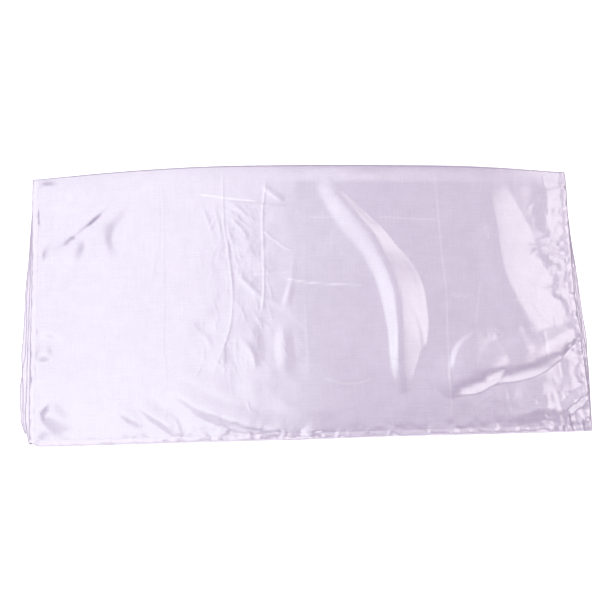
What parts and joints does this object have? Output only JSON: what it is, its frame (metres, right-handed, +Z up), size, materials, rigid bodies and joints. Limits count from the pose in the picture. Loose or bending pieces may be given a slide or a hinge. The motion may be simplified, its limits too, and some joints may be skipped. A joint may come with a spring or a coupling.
{
  "type": "evening stole",
  "caption": "Satin evening stole folded in half and in half again, lying flat with its double fold at the back and its narrow hems at the front and sides.",
  "frame": {"origin": "on the surface that the stole lies on, under the middle of its outline", "axes": "+X along the double fold, +Y from the hemmed short end to the double fold, +Z up"},
  "size_m": [0.9202, 0.4715, 0.0095],
  "materials": {
    "satin": "pale lilac filament satin, smooth and softly lustrous",
    "hem": "the same satin turned over twice and stitched, slightly puckered"
  },
  "bodies": {
    "root": {"top_leaf": "satin", "hem_front": "hem", "hem_left": "hem", "hem_right": "hem", "under_leaves": "satin"}
  },
  "joints": []
}
